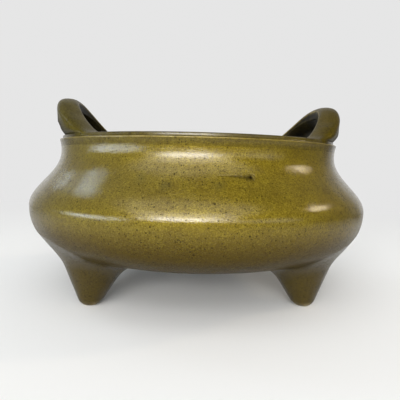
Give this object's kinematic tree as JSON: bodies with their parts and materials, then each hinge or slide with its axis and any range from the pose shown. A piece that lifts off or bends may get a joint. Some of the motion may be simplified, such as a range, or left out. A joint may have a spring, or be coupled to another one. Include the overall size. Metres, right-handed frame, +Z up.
{
  "type": "tripod incense burner",
  "caption": "Squat round cast bronze censer with a short neck, an open mouth, bridge handles standing on the rim and teat feet that hold the bowl off the table.",
  "frame": {"origin": "on the ground plane under the centre of the bowl, midway between the feet", "axes": "+Z up along the axis of the bowl, +X through the middle of the right handle, -Y towards the front, where two feet stand"},
  "size_m": [0.15, 0.15, 0.0877],
  "materials": {
    "bowl_bronze": "polished olive brown bronze patina",
    "handle_bronze": "olive brown bronze patina, brighter on the edges",
    "foot_bronze": "dark olive brown bronze patina"
  },
  "bodies": {
    "root": {"bowl": "bowl_bronze", "handle_right": "handle_bronze", "handle_left": "handle_bronze", "foot_back": "foot_bronze", "foot_front_left": "foot_bronze", "foot_front_right": "foot_bronze"}
  },
  "joints": []
}
